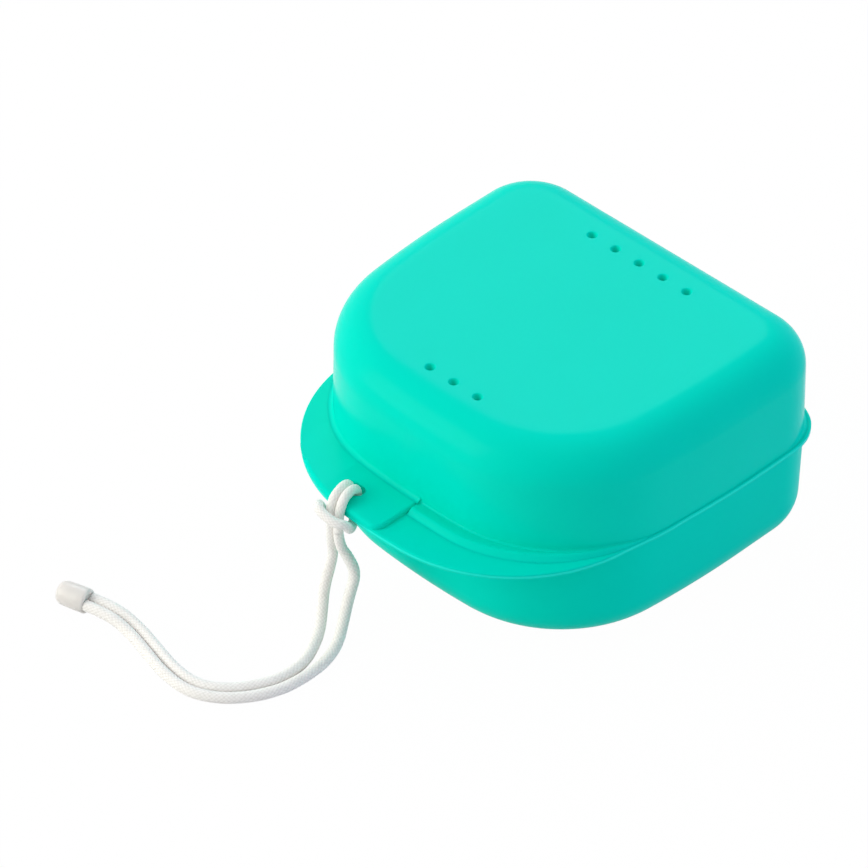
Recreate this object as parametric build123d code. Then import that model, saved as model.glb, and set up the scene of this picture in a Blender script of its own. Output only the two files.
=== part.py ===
from build123d import *
from math import cos, pi, radians, sin, tan
import os

# Denture case: a shallow tub and a domed lid, both moulded in polypropylene and hinged at the
# straight back edge. A thin visor stands out of the tub's rim at the front, with a raised pad
# that carries the hole for a doubled braided cord. All sizes are in millimetres.
# The origin lies on the table under the middle of the case. The front faces -Y, up is +Z.

# ---- driving dimensions: the case as a whole
WALL_WIDTH = 78.0          # over the side walls
HEIGHT = 45.3              # table to the top of the lid
RIM_Z = 23.6               # top of the tub's flange, where the two halves meet
BACK_Y = 38.5              # outer face of the straight back wall
BACK_CORNER_R = 12.4
SIDE_STRAIGHT = 9.0        # flat stretch of the side wall next to the back corner
SIDE_ARC = (213.6, 6.3)    # radius and angle of the slight bow of the side wall
FRONT_CORNER_ARC = (28.2, 79.8)
SKIN = 1.4                 # wall thickness of both halves
TUB_TAPER = 1.4            # draft of the tub's wall, degrees
LID_TAPER = 1.0
TUB_FILLET = 8.8           # round between the tub's wall and its floor
LID_FILLET = 7.7           # round between the lid's wall and its top

# ---- flange, visor and cord pad of the tub
FLANGE_REACH = 0.9
FLANGE_THICK = 1.2
FLANGE_ROUND = 0.45        # round of the flange's and the visor's edges, above and below
VISOR_FRONT_Y = -43.0
VISOR_ARCS = ((130.0, 3.1), (31.5, 78.4))
VISOR_TAIL = 14.0          # straight end of the visor's edge, running into the flange
PAD_RIGHT_X = 1.0
HOLE_X = -9.3              # the cord hole and its pad sit left of the middle
HOLE_Y = -37.9
HOLE_SIZE = (5.2, 3.0)
PAD_RISE = 0.9
PAD_CORNER_R = 1.5         # plan radius of the pad's two front corners
PAD_ROUND = 0.7            # round along the pad's top edges

# ---- how the halves locate on each other
SEAT_GAP = 0.05            # between the flange and the lid that rests on it
LIP_RISE = 2.2             # inner lip of the tub that stands up inside the lid
LIP_SKIN = 0.65
LIP_CLEAR = 0.15
REBATE_EXTRA = 0.4         # the lid's rebate is this much deeper than the lip is tall

# ---- finger grip: a low bead at the lid's bottom edge, from the pad to the right corner
GRIP_RISE = 0.9
GRIP_ROUND = 0.8
GRIP_FRONT_Y = -35.8
GRIP_ARCS = ((400.0, 1.5), (27.4, 58.0), (31.0, 29.0))
GRIP_TAIL = 6.0
PAD_CLEAR = 0.2            # between the lid and the pad

# ---- vents through the top of the lid
VENT_D = 1.9
VENT_PITCH = 6.0
BACK_VENTS = (5, 27.3)     # count and Y of each row
FRONT_VENTS = (3, -21.4)

# ---- snap hinge: a rod on the tub, two open hooks on the lid
HINGE_Y = 40.9
HINGE_Z = RIM_Z
ROD_R = 1.1
ROD_CLEAR = 0.05
KNUCKLE_R = 2.1
EAR_WIDTH = 2.4
EAR_SPAN = 43.0            # between the middles of the outer ears
HOOK_WIDTH = 10.0
HOOK_MOUTH = 1.9           # narrower than the rod, so that the hook snaps on
EAR_FOOT_Z = 13.0          # where an ear's gusset runs out on the tub's wall
HOOK_HEAD_Z = 31.0         # where a hook's gusset runs out on the lid's wall
KNUCKLE_STEP = 1.9         # the gussets start this far from the parting plane
HINGE_ZONE = 49.0          # stretch of the back where the flange is left out

# ---- cord and the cap that joins its two ends
CORD_D = 2.2
FOLD_R = 2.2               # tightest folds of the cord, where it grips the pad
FLOOR_Z = 1.12             # height of the cord's centre where it lies on the table
CAP_D = 4.8
CAP_LENGTH = 6.4
CAP_MOUTH = (-39.31, -76.803, CAP_D / 2)
CAP_HEADING = (-0.965, -0.264, 0)
CAP_END_ROUND = 1.3

# The doubled cord goes over the pad's edge, down through the hole and out below the visor, and
# its middle crosses in front of its own two strands. The route runs from strand to strand.
HITCH_ROUTE = [
    (-6.4, -44.3, 19.5), (-6.4, -44.3, 26.0), (-8.15, -37.9, 26.0), (-8.15, -37.9, 20.9),
    (-4.0, -43.3, 20.4), (-3.6, -44.9, 23.3), (-5.3, -46.8, 23.9), (-9.6, -46.8, 24.8),
    (-11.3, -44.9, 24.3), (-11.3, -43.3, 20.4), (-10.45, -37.9, 20.9), (-10.45, -37.9, 26.0),
    (-8.7, -44.3, 26.0), (-8.7, -44.3, 19.5),
]
LEFT_ROUTE = [
    HITCH_ROUTE[-1], (-8.7, -44.3, 16.4), (-8.3, -44.0, 13.4), (-8.7, -44.8, 9.8),
    (-8.5, -46.4, 6.2), (-7.0, -48.4, 3.2), (-4.7, -51.2, 1.35), (-2.1, -55.4, FLOOR_Z),
    (-0.2, -60.2, FLOOR_Z), (-0.4, -65.9, FLOOR_Z), (-2.7, -71.0, FLOOR_Z),
    (-6.2, -75.1, FLOOR_Z), (-10.3, -77.3, FLOOR_Z), (-16.1, -77.1, FLOOR_Z),
    (-22.6, -75.5, FLOOR_Z), (-29.0, -74.1, 1.4), (-34.8, -74.41, CAP_D / 2),
    (-39.6, -75.72, CAP_D / 2),
]
RIGHT_ROUTE = [
    HITCH_ROUTE[0], (-6.4, -44.3, 16.4), (-4.9, -43.4, 13.6), (-3.7, -42.9, 10.2),
    (-3.6, -44.8, 6.2), (-2.0, -47.9, 2.8), (0.4, -51.6, 1.3), (2.1, -56.2, FLOOR_Z),
    (2.5, -61.4, FLOOR_Z), (1.9, -67.2, FLOOR_Z), (-0.6, -72.6, FLOOR_Z),
    (-4.6, -77.1, FLOOR_Z), (-9.9, -79.7, FLOOR_Z), (-16.5, -79.4, FLOOR_Z),
    (-23.0, -77.7, FLOOR_Z), (-28.8, -76.4, 1.4), (-34.2, -76.57, CAP_D / 2),
    (-39.0, -77.88, CAP_D / 2),
]


def closing_arc(point, heading):
    """Radius of the arc that reaches the middle plane from point, heading degrees from -Y."""
    return point.X / sin(radians(90 - heading))


def half_plan():
    """Right half of the plan outline of both walls, from the back middle to the front middle."""
    half = WALL_WIDTH / 2
    back = Line((0, BACK_Y), (half - BACK_CORNER_R, BACK_Y))
    corner = JernArc(back @ 1, (1, 0), BACK_CORNER_R, -90)
    side = Line(corner @ 1, corner @ 1 + Vector(0, -SIDE_STRAIGHT))
    bow = JernArc(side @ 1, (0, -1), SIDE_ARC[0], -SIDE_ARC[1])
    front_corner = JernArc(bow @ 1, bow % 1, FRONT_CORNER_ARC[0], -FRONT_CORNER_ARC[1])
    turned = SIDE_ARC[1] + FRONT_CORNER_ARC[1]
    front = JernArc(front_corner @ 1, front_corner % 1, closing_arc(front_corner @ 1, turned),
                    turned - 90)
    return back + corner + side + bow + front_corner + front


def mirrored_face(half):
    """Face inside a half outline and its mirror image about the middle plane."""
    return make_face((half + mirror(half, Plane.YZ)).edges())


def plan(outward=0.0):
    """Closed plan of the walls, moved outward or, if negative, inward."""
    face = mirrored_face(half_plan())
    return offset(face, outward) if outward else face


def lobe(front_y, arcs, tail):
    """Plan of a tongue that stands out at the front and fades into the sides."""
    point = Vector(0, front_y)
    heading = Vector(1, 0)
    edge = Curve()
    for radius, angle in arcs:
        arc = JernArc(point, heading, radius, angle)
        point = arc @ 1
        heading = arc % 1
        edge += arc
    inner = point + heading * tail
    return mirrored_face(edge + Line(point, inner) + Line(inner, (0, inner.Y)))


def slab(face, low, high):
    """Upright prism of a plan face between two heights."""
    return extrude(Pos(0, 0, low) * face, high - low)


def rims(solid, *heights):
    """Edges of a solid that lie flat at the given heights."""
    edges = solid.edges()
    return [edge for z in heights for edge in edges.filter_by_position(Axis.Z, z - 0.01, z + 0.01)]


def bowl(outward, depth, taper, radius):
    """Solid with the walls' plan at Z 0, drafted walls and a rounded bottom edge below it."""
    block = extrude(plan(outward), depth, dir=(0, 0, -1), taper=taper)
    return fillet(block.faces().sort_by(Axis.Z)[0].edges(), radius)


def tub_form(inset, floor_z):
    """Form of the tub's outside or, with an inset, of its hollow."""
    return Pos(0, 0, RIM_Z) * bowl(-inset, RIM_Z - floor_z, TUB_TAPER, TUB_FILLET - inset)


def lid_form(inset, top_z):
    """Form of the lid's outside or, with an inset, of its hollow."""
    seat = RIM_Z + SEAT_GAP
    dome = bowl(-inset, top_z - seat, LID_TAPER, LID_FILLET - inset)
    return Pos(0, 0, seat) * mirror(dome, Plane.XY)


def across(profile, middle_x, width):
    """Prism along X of a profile drawn on the YZ plane, centred on middle_x."""
    return extrude(Pos(middle_x - width / 2, 0, 0) * profile, width, dir=(1, 0, 0))


def knuckle(wall_y, low, high):
    """YZ profile of a hinge knuckle: a disc on the axis with a gusset along the wall."""
    disc = Pos(HINGE_Y, HINGE_Z) * Circle(KNUCKLE_R)
    return Plane.YZ * make_hull(disc.edges() + [Line((wall_y, low), (wall_y, high)).edge()])


def hinge_zone():
    """Block that clears the flange from the hinge's stretch of the back."""
    return Pos(0, BACK_Y + 5, RIM_Z) * Box(HINGE_ZONE, 10, 2 * KNUCKLE_R + 2)


def pad_strip():
    """Front strip of the plan that the cord pad takes up, centred on the hole."""
    width = 2 * (PAD_RIGHT_X - HOLE_X)
    return Pos(HOLE_X, VISOR_FRONT_Y) * Rectangle(width, abs(VISOR_FRONT_Y))


def grip_plan():
    """Plan of the lid's finger grip: the part of its tongue that lies right of the pad."""
    tongue = lobe(GRIP_FRONT_Y, GRIP_ARCS, GRIP_TAIL)
    left = PAD_RIGHT_X + PAD_CLEAR
    return tongue & Pos((left + WALL_WIDTH / 2) / 2, 0) * Rectangle(WALL_WIDTH / 2 - left, WALL_WIDTH)


def base_shell():
    """The tub with flange, visor, pad, locating lip and the rod side of the hinge."""
    visor = lobe(VISOR_FRONT_Y, VISOR_ARCS, VISOR_TAIL)
    flange = slab(plan(FLANGE_REACH) + visor, RIM_Z - FLANGE_THICK, RIM_Z)
    flange = fillet(rims(flange, RIM_Z - FLANGE_THICK, RIM_Z), FLANGE_ROUND)
    pad_top = RIM_Z + PAD_RISE
    pad = slab((visor & pad_strip()) - plan(PAD_CLEAR), RIM_Z - FLANGE_THICK / 2, pad_top)
    front_corners = pad.edges().filter_by(Axis.Z).sort_by(Axis.Y)[:2]
    pad = fillet(front_corners, PAD_CORNER_R)
    pad = fillet(rims(pad, pad_top), PAD_ROUND)
    lip = slab(plan(LIP_SKIN - SKIN), RIM_Z - 0.5, RIM_Z + LIP_RISE)
    shell = tub_form(0, 0) + (flange - hinge_zone()) + pad + lip
    shell -= tub_form(SKIN, SKIN)
    shell -= slab(plan(-SKIN), RIM_Z - 0.01, RIM_Z + LIP_RISE + 1)
    shell -= slab(Pos(HOLE_X, HOLE_Y) * SlotOverall(*HOLE_SIZE), RIM_Z - 5, RIM_Z + 5)
    wall_y = BACK_Y - SKIN / 2
    for middle in (-EAR_SPAN / 2, 0, EAR_SPAN / 2):
        shell += across(knuckle(wall_y, EAR_FOOT_Z, RIM_Z - KNUCKLE_STEP), middle, EAR_WIDTH)
    rod = across(Plane.YZ * (Pos(HINGE_Y, HINGE_Z) * Circle(ROD_R)), 0, EAR_SPAN)
    return shell + rod


def vents():
    """Upright pins that leave the rows of vent holes in the lid's top."""
    pins = []
    for count, row_y in (BACK_VENTS, FRONT_VENTS):
        for index in range(count):
            x = (index - (count - 1) / 2) * VENT_PITCH
            pins.append(Pos(x, row_y, HEIGHT) * Cylinder(VENT_D / 2, 4 * SKIN))
    return pins


def hook_profile():
    """YZ profile of a hinge hook: a knuckle bored for the rod, with a mouth at the bottom."""
    rod_space = Pos(HINGE_Y, HINGE_Z) * Circle(ROD_R + ROD_CLEAR)
    mouth = Pos(HINGE_Y, HINGE_Z - KNUCKLE_R) * Rectangle(HOOK_MOUTH, 2 * KNUCKLE_R)
    outline = knuckle(BACK_Y - SKIN / 2, RIM_Z + KNUCKLE_STEP, HOOK_HEAD_Z)
    return outline - Plane.YZ * rod_space - Plane.YZ * mouth


def lid_shell():
    """The domed lid with its grip, vents, rebate for the tub's lip and the hinge hooks."""
    seat = RIM_Z + SEAT_GAP
    grip = slab(grip_plan(), seat, seat + GRIP_RISE)
    shell = lid_form(0, HEIGHT) + fillet(rims(grip, seat + GRIP_RISE), GRIP_ROUND)
    shell -= lid_form(SKIN, HEIGHT - SKIN)
    shell -= slab(plan(LIP_SKIN + LIP_CLEAR - SKIN), seat - 1, RIM_Z + LIP_RISE + REBATE_EXTRA)
    for middle in (-EAR_SPAN / 4, EAR_SPAN / 4):
        shell += across(hook_profile(), middle, HOOK_WIDTH)
    return shell - vents()


def bend_radii(route, fold=None):
    """Radius of the arc at each corner of a cord's route, as large as its two runs allow."""
    points = [Vector(*point) for point in route]
    radii = []
    for before, corner, after in zip(points, points[1:], points[2:]):
        half_turn = radians((corner - before).get_angle(after - corner)) / 2
        shorter = min((corner - before).length, (after - corner).length)
        radius = 0.45 * shorter / tan(half_turn)
        radii.append(min(radius, fold) if fold else radius)
    return radii


def cord_tube(name, route, fold=None):
    """Round tube of the cord's diameter along straight runs joined by tangent arcs."""
    radii = bend_radii(route, fold)
    path = FilletPolyline(*route, radius=radii)
    section = Plane(origin=path @ 0, z_dir=path % 0) * Circle(CORD_D / 2)
    tube = sweep(section, path=path)
    print(name, "length", round(path.length, 1), "radii", [round(radius, 1) for radius in radii])
    print(name, "volume", round(tube.volume, 1), "section x length",
          round(pi * CORD_D ** 2 / 4 * path.length, 1))
    return tube


def cord_end_cap():
    """Moulded cap that holds both ends of the cord, with a rounded closed end."""
    cap = extrude(Plane(origin=CAP_MOUTH, z_dir=CAP_HEADING) * Circle(CAP_D / 2), CAP_LENGTH)
    closed_end = cap.faces().sort_by(Axis(CAP_MOUTH, CAP_HEADING))[-1]
    return fillet(closed_end.edges(), CAP_END_ROUND)


def main():
    nodes = {
        "base_shell": base_shell(),
        "lid_shell": lid_shell(),
        "cord_hitch": cord_tube("cord_hitch", HITCH_ROUTE, FOLD_R),
        "cord_strand_left": cord_tube("cord_strand_left", LEFT_ROUTE),
        "cord_strand_right": cord_tube("cord_strand_right", RIGHT_ROUTE),
        "cord_end_cap": cord_end_cap(),
    }
    os.makedirs("parts", exist_ok=True)
    for name, solid in nodes.items():
        solid.label = name
        export_step(solid, f"parts/{name}.step")
        print(name, "solids", len(solid.solids()), "volume", round(solid.volume, 1))


main()
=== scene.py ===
# %% [markdown]
# # A denture case in Blender
# The case is two thin mouldings, a tub and a domed lid, joined by a snap hinge at the back. A white
# braided cord, folded double, is hitched through a hole in the tub's visor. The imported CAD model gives
# every size and place. This lesson dresses it: first the camera and the cord, then the two mouldings,
# then their materials, and last the floor and the light.

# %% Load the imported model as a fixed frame
import math

import bmesh
import bpy
from mathutils import Matrix, Vector, noise
from mathutils.geometry import intersect_line_line_2d


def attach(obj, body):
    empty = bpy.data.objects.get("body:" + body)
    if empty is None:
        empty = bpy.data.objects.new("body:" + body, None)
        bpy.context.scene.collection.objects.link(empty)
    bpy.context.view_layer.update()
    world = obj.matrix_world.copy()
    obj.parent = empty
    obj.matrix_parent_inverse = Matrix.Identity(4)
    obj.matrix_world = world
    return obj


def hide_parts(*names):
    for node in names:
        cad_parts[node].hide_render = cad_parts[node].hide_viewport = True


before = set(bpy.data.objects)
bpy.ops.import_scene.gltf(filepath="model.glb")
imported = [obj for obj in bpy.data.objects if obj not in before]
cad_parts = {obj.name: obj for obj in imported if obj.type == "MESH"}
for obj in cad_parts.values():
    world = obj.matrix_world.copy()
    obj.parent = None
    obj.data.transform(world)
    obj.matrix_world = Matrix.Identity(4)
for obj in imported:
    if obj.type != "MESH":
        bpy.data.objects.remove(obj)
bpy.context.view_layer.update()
MM = 0.001

# %% [markdown]
# ## The camera
# A product shot from far away with a long lens keeps parallel edges nearly parallel. The camera looks
# down by 40 degrees on the front right corner of the case, from about a metre.

# %% Place the camera
TARGET = Vector((-30.216, 3.886, 0.0)) * MM
AZIMUTH, ELEVATION = math.radians(44.901), math.radians(40.043)
DISTANCE = 1058.17 * MM
backward = Vector((math.sin(AZIMUTH) * math.cos(ELEVATION),
                   -math.cos(AZIMUTH) * math.cos(ELEVATION), math.sin(ELEVATION)))
camera = bpy.data.objects.new("camera", bpy.data.cameras.new("camera"))
camera.location = TARGET + DISTANCE * backward
camera.rotation_euler = (-backward).to_track_quat("-Z", "Y").to_euler()
camera.data.sensor_width = 36.0
camera.data.lens = 229.96            # mm, a long lens
camera.data.clip_end = 10.0
bpy.context.scene.collection.objects.link(camera)
bpy.context.scene.camera = camera
print("camera at", [round(c, 4) for c in camera.location])

# %% [markdown]
# ## The route of the cord
# A cord lies in one smooth line, which a NURBS spline gives from a few given points. The doubled
# cord is two routes. The first is the cow hitch round the pad and the left strand, and the second is the
# right strand. Both end side by side in the cap. The points are the ones that the CAD tubes follow.

# %% Lay the two routes
CORD_D = 2.2               # mm across
FLOOR_Z = 1.12             # height of the centreline where the cord lies on the table
HITCH = [
    (-6.7, -44.3, 19.5), (-6.7, -44.3, 26.0), (-8.35, -37.9, 26.0), (-8.35, -37.9, 20.9),
    (-4.4, -43.3, 20.4), (-4.0, -44.9, 23.0), (-5.5, -46.6, 23.6), (-9.6, -46.7, 24.6),
    (-11.2, -44.9, 24.2), (-11.2, -43.3, 20.4), (-10.2, -37.9, 20.9), (-10.2, -37.9, 26.0),
    (-8.6, -44.3, 26.0), (-8.6, -44.3, 19.5),
]
LEFT_STRAND = [
    (-8.7, -44.3, 16.4), (-8.4, -44.0, 13.4), (-8.7, -44.8, 9.8), (-8.5, -46.4, 6.2),
    (-7.0, -48.4, 3.2), (-4.7, -51.2, 1.35), (-2.1, -55.4, FLOOR_Z), (-0.2, -60.2, FLOOR_Z),
    (-0.4, -65.9, FLOOR_Z), (-2.7, -71.0, FLOOR_Z), (-6.2, -75.1, FLOOR_Z),
    (-10.3, -77.3, FLOOR_Z), (-16.1, -77.1, FLOOR_Z), (-22.6, -75.5, FLOOR_Z),
    (-29.0, -74.1, 1.4), (-34.8, -74.41, 2.4), (-39.6, -75.72, 2.4),
]
RIGHT_STRAND = [
    (-6.7, -44.3, 19.5), (-6.6, -44.3, 16.4), (-4.9, -43.4, 13.6), (-3.7, -42.9, 10.2),
    (-3.6, -44.8, 6.2), (-2.0, -47.9, 2.8), (0.4, -51.6, 1.3), (2.1, -56.2, FLOOR_Z),
    (2.5, -61.4, FLOOR_Z), (1.9, -67.2, FLOOR_Z), (-0.6, -72.6, FLOOR_Z),
    (-4.6, -77.1, FLOOR_Z), (-9.9, -79.7, FLOOR_Z), (-16.5, -79.4, FLOOR_Z),
    (-23.0, -77.7, FLOOR_Z), (-28.8, -76.4, 1.4), (-34.2, -76.57, 2.4), (-39.0, -77.88, 2.4),
]


def lay_route(points):
    """Centreline of a cord, read from one open NURBS spline through given points."""
    data = bpy.data.curves.new("route", "CURVE")
    data.dimensions = "3D"
    spline = data.splines.new("NURBS")
    spline.points.add(len(points) - 1)
    for control, place in zip(spline.points, points):
        control.co = (*(Vector(place) * MM), 1.0)
    spline.order_u = 3
    spline.use_endpoint_u = True
    spline.resolution_u = 34
    carrier = bpy.data.objects.new("route", data)
    line = bpy.data.meshes.new_from_object(carrier)
    places = [vertex.co.copy() for vertex in line.vertices]
    bpy.data.objects.remove(carrier)
    bpy.data.meshes.remove(line)
    return places


hitch_line = lay_route(HITCH + LEFT_STRAND)
right_line = lay_route(RIGHT_STRAND)


def length_of(line):
    """Length along a line of points."""
    return sum((b - a).length for a, b in zip(line, line[1:]))


print("hitch and left strand", round(length_of(hitch_line) / MM, 1), "mm in", len(hitch_line))
print("right strand", round(length_of(right_line) / MM, 1), "mm in", len(right_line))

# %% [markdown]
# ## A braided cord
# The real cord is a fine round braid: yarns wind round it in both directions and pass over and under
# each other, so its skin is a net of small pillows. Separate yarns would be far too fine for the
# finished picture. A tube whose skin rises and falls as the braid does looks the same and stays light.
# The tube starts as one circle, which is extruded from point to point of the route.

# %% Braid a tube along a line
YARNS = 9                  # yarns that wind in each direction
BRAID_LENGTH = 0.85 * MM   # length of one pillow along the cord
BRAID_DEPTH = 0.1 * MM     # from the top of a pillow to the gap beside it
AROUND = 54                # vertices round the cord
TIGHT = 0.86               # share of its thickness that is left where the hitch pulls it tight
EASE = 8.0 * MM            # stretch over which it swells again


def pillow(turn, along):
    """Height of the braid's skin, 0 in a gap and 1 on top of a yarn, from place round and along."""
    right, left = YARNS * turn + along, YARNS * turn - along
    over_right = (math.floor(right) + math.floor(left)) % 2 == 0
    across, lengthwise = (right, left) if over_right else (left, right)
    width = math.sin(math.pi * (across % 1.0))
    arch = math.sin(math.pi * (lengthwise % 1.0))
    return (width ** 0.7) * (0.35 + 0.65 * arch)


def thickness(walked, tight_end):
    """Share of the cord's thickness at a distance along it: less inside the hitch, and never even."""
    swollen = min(max((walked - tight_end) / EASE, 0.0), 1.0)
    uneven = noise.noise(Vector((walked / (2.6 * MM), tight_end / MM, 0.0)))
    return (TIGHT + (1.0 - TIGHT) * swollen) * (0.982 + 0.018 * uneven)


def braid(name, line, tight_end=0.0):
    """Braided tube along a line, pulled thin as far as tight_end, with its yarn heights kept."""
    mesh_maker = bmesh.new()
    height = mesh_maker.verts.layers.float.new("yarn_height")
    circle = bmesh.ops.create_circle(mesh_maker, cap_ends=True, segments=AROUND, radius=CORD_D * MM / 2)
    ring = list(circle["verts"])
    edges = list({edge for vertex in ring for edge in vertex.link_edges})
    side = (line[1] - line[0]).orthogonal().normalized()
    walked = 0.0
    for index, centre in enumerate(line):
        before, after = line[max(index - 1, 0)], line[min(index + 1, len(line) - 1)]
        ahead = (after - before).normalized()
        side = (side - side.dot(ahead) * ahead).normalized()
        other = ahead.cross(side)
        if index:
            walked += (centre - line[index - 1]).length
            grown = bmesh.ops.extrude_edge_only(mesh_maker, edges=edges)["geom"]
            ring = [part for part in grown if isinstance(part, bmesh.types.BMVert)]
            edges = [part for part in grown if isinstance(part, bmesh.types.BMEdge)]
        radius = thickness(walked, tight_end) * CORD_D * MM / 2
        for step, vertex in enumerate(ring):
            turn = step / AROUND
            vertex[height] = pillow(turn, walked / BRAID_LENGTH)
            reach = radius + BRAID_DEPTH * (vertex[height] - 0.8)
            angle = 2 * math.pi * turn
            vertex.co = centre + reach * (math.cos(angle) * side + math.sin(angle) * other)
    bmesh.ops.contextual_create(mesh_maker, geom=edges)
    bmesh.ops.recalc_face_normals(mesh_maker, faces=mesh_maker.faces)
    return finish_piece(name, mesh_maker)


def add_object(name, mesh_maker):
    """Turns a finished bmesh into an object at the origin."""
    mesh = bpy.data.meshes.new(name)
    mesh_maker.to_mesh(mesh)
    mesh_maker.free()
    made = bpy.data.objects.new(name, mesh)
    bpy.context.scene.collection.objects.link(made)
    return made


def finish_piece(name, mesh_maker, sharp_degrees=None):
    """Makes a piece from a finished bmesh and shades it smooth."""
    piece = add_object(name, mesh_maker)
    smooth(piece, sharp_degrees)
    print(name, len(piece.data.vertices), "vertices", len(piece.data.polygons), "faces")
    return piece


def smooth(piece, sharp_degrees):
    """Smooth shading, with creases kept where faces meet at more than an angle."""
    piece.data.shade_smooth()
    if sharp_degrees:
        piece.data.set_sharp_from_angle(angle=math.radians(sharp_degrees))


# %% Make both strands and say how long they are
HITCH_LENGTH = 58.0 * MM   # the cord is pulled tight as far as this
cord_hitch = braid("braided_hitch_and_left_strand", hitch_line, HITCH_LENGTH)
cord_right = braid("braided_right_strand", right_line)

# %% [markdown]
# ## The end cap
# Both ends of the cord sit in a small moulded cap of milky plastic. Its form could be spun from a
# profile. Here a circle grows ring by ring along the axis instead, which also gives it a sunk mouth.

# %% Turn the cap and carry it to the ends of the cord
CAP_MOUTH = Vector((-39.31, -76.803, 2.4)) * MM
CAP_HEADING = Vector((-0.965, -0.264, 0.0)).normalized()
CAP_PROFILE = [            # radius and distance from the mouth, in mm
    (1.9, 0.0), (2.15, 0.06), (2.32, 0.22), (2.4, 0.5), (2.4, 2.2), (2.36, 4.2), (2.3, 5.1),
    (2.14, 5.65), (1.85, 6.05), (1.4, 6.3), (0.8, 6.39),
]


def turn_cap():
    """Cap along +Z from its mouth, then carried into place."""
    mesh_maker = bmesh.new()
    circle = bmesh.ops.create_circle(mesh_maker, segments=48, radius=CAP_PROFILE[0][0] * MM)
    rim = list({edge for vertex in circle["verts"] for edge in vertex.link_edges})
    edges = rim
    reach = CAP_PROFILE[0][0]
    for radius, depth in CAP_PROFILE[1:]:
        grown = bmesh.ops.extrude_edge_only(mesh_maker, edges=edges)["geom"]
        ring = [part for part in grown if isinstance(part, bmesh.types.BMVert)]
        edges = [part for part in grown if isinstance(part, bmesh.types.BMEdge)]
        bmesh.ops.scale(mesh_maker, verts=ring, vec=(radius / reach, radius / reach, 1.0))
        for vertex in ring:
            vertex.co.z = depth * MM
        reach = radius
    bmesh.ops.contextual_create(mesh_maker, geom=edges)
    mouth = bmesh.ops.contextual_create(mesh_maker, geom=rim)["faces"]
    bmesh.ops.inset_region(mesh_maker, faces=mouth, thickness=0.25 * MM)
    bmesh.ops.translate(mesh_maker, verts=mouth[0].verts[:], vec=(0, 0, 0.12 * MM))
    bmesh.ops.recalc_face_normals(mesh_maker, faces=mesh_maker.faces)
    turn = CAP_HEADING.to_track_quat("Z", "Y").to_matrix().to_4x4()
    bmesh.ops.transform(mesh_maker, matrix=Matrix.Translation(CAP_MOUTH) @ turn, verts=mesh_maker.verts)
    return finish_piece("cord_cap", mesh_maker, sharp_degrees=50)


cord_cap = turn_cap()

# %% Say which body each piece rides on, and hide the CAD cords in their place
for piece, node in ((cord_hitch, "cord_hitch"), (cord_right, "cord_strand_right"),
                    (cord_cap, "cord_end_cap")):
    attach(piece, "base")
    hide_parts(node)
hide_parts("cord_strand_left")

# %% [markdown]
# ## The plan of the shells
# Seen from above, tub and lid share one outline: a straight back, tight back corners, sides with a
# slight bow, and a wide round front. It could be modelled from a scaled box, but a moulder's drawing
# gives it as lines and arcs, so it is drawn like that: a vertex is extruded along each line and spun
# along each arc, and the half is mirrored.

# %% Trace lines and arcs from one vertex
def trace(mesh_maker, start, heading, steps):
    """Draws steps of (size, turn, parts) in mm and degrees: a line has no turn, an arc's size is its
    radius."""
    tip = mesh_maker.verts.new(Vector(start) * MM)
    for size, turn, parts in steps:
        if turn:
            to_centre = heading + math.copysign(90, turn)
            centre = tip.co + size * MM * compass(to_centre)
            spun = bmesh.ops.spin(mesh_maker, geom=[tip], cent=centre, axis=(0, 0, 1),
                                  angle=math.radians(turn), steps=parts)["geom_last"]
            tip = next(part for part in spun if isinstance(part, bmesh.types.BMVert))
            heading += turn
            continue
        for _ in range(parts):
            tip = bmesh.ops.extrude_vert_indiv(mesh_maker, verts=[tip])["verts"][0]
            tip.co += size / parts * MM * compass(heading)
    return tip


def compass(degrees):
    """Unit vector in the plan, anticlockwise from +X."""
    return Vector((math.cos(math.radians(degrees)), math.sin(math.radians(degrees)), 0.0))


# %% Draw the outline of the walls
BACK_Y = 38.5
HINGE_HALF = 24.5          # the flange stops here at the back
WALL_STEPS = [             # straight back, back corner, straight side, slight bow, front round
    (HINGE_HALF, 0, 6), (0.15, 0, 1), (1.95, 0, 1), (12.4, -90, 20), (9.0, 0, 3),
    (213.6, -6.3, 9), (28.2, -79.8, 40),
]


def wall_ring(cuts=()):
    """Closed outline of the walls at Z 0, with vertices added where it crosses the planes x = cut."""
    mesh_maker = bmesh.new()
    tip = trace(mesh_maker, (0, BACK_Y, 0), 0, WALL_STEPS)
    turned = sum(turn for _, turn, _ in WALL_STEPS)
    last_turn = -180 - turned
    radius = tip.co.x / MM / math.sin(math.radians(-last_turn))
    to_centre = compass(turned - 90)
    bmesh.ops.spin(mesh_maker, geom=[tip], cent=tip.co + radius * MM * to_centre, axis=(0, 0, 1),
                   angle=math.radians(last_turn), steps=5)
    bmesh.ops.mirror(mesh_maker, geom=mesh_maker.verts[:] + mesh_maker.edges[:], axis="X",
                     merge_dist=0.01 * MM)
    bmesh.ops.remove_doubles(mesh_maker, verts=mesh_maker.verts, dist=0.01 * MM)
    for cut in cuts:
        bmesh.ops.bisect_plane(mesh_maker, geom=mesh_maker.verts[:] + mesh_maker.edges[:],
                               plane_co=(cut * MM, 0, 0), plane_no=(1, 0, 0))
    return mesh_maker


def walk(mesh_maker):
    """Vertices of a closed ring in order, from the back middle towards +X."""
    start = max(mesh_maker.verts, key=lambda vertex: vertex.co.y - abs(vertex.co.x))
    order = [start]
    here = max(start.link_edges, key=lambda edge: edge.other_vert(start).co.x).other_vert(start)
    before = start
    while here is not start:
        order.append(here)
        step = next(edge for edge in here.link_edges if edge.other_vert(here) is not before)
        before, here = here, step.other_vert(here)
    return order


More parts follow.
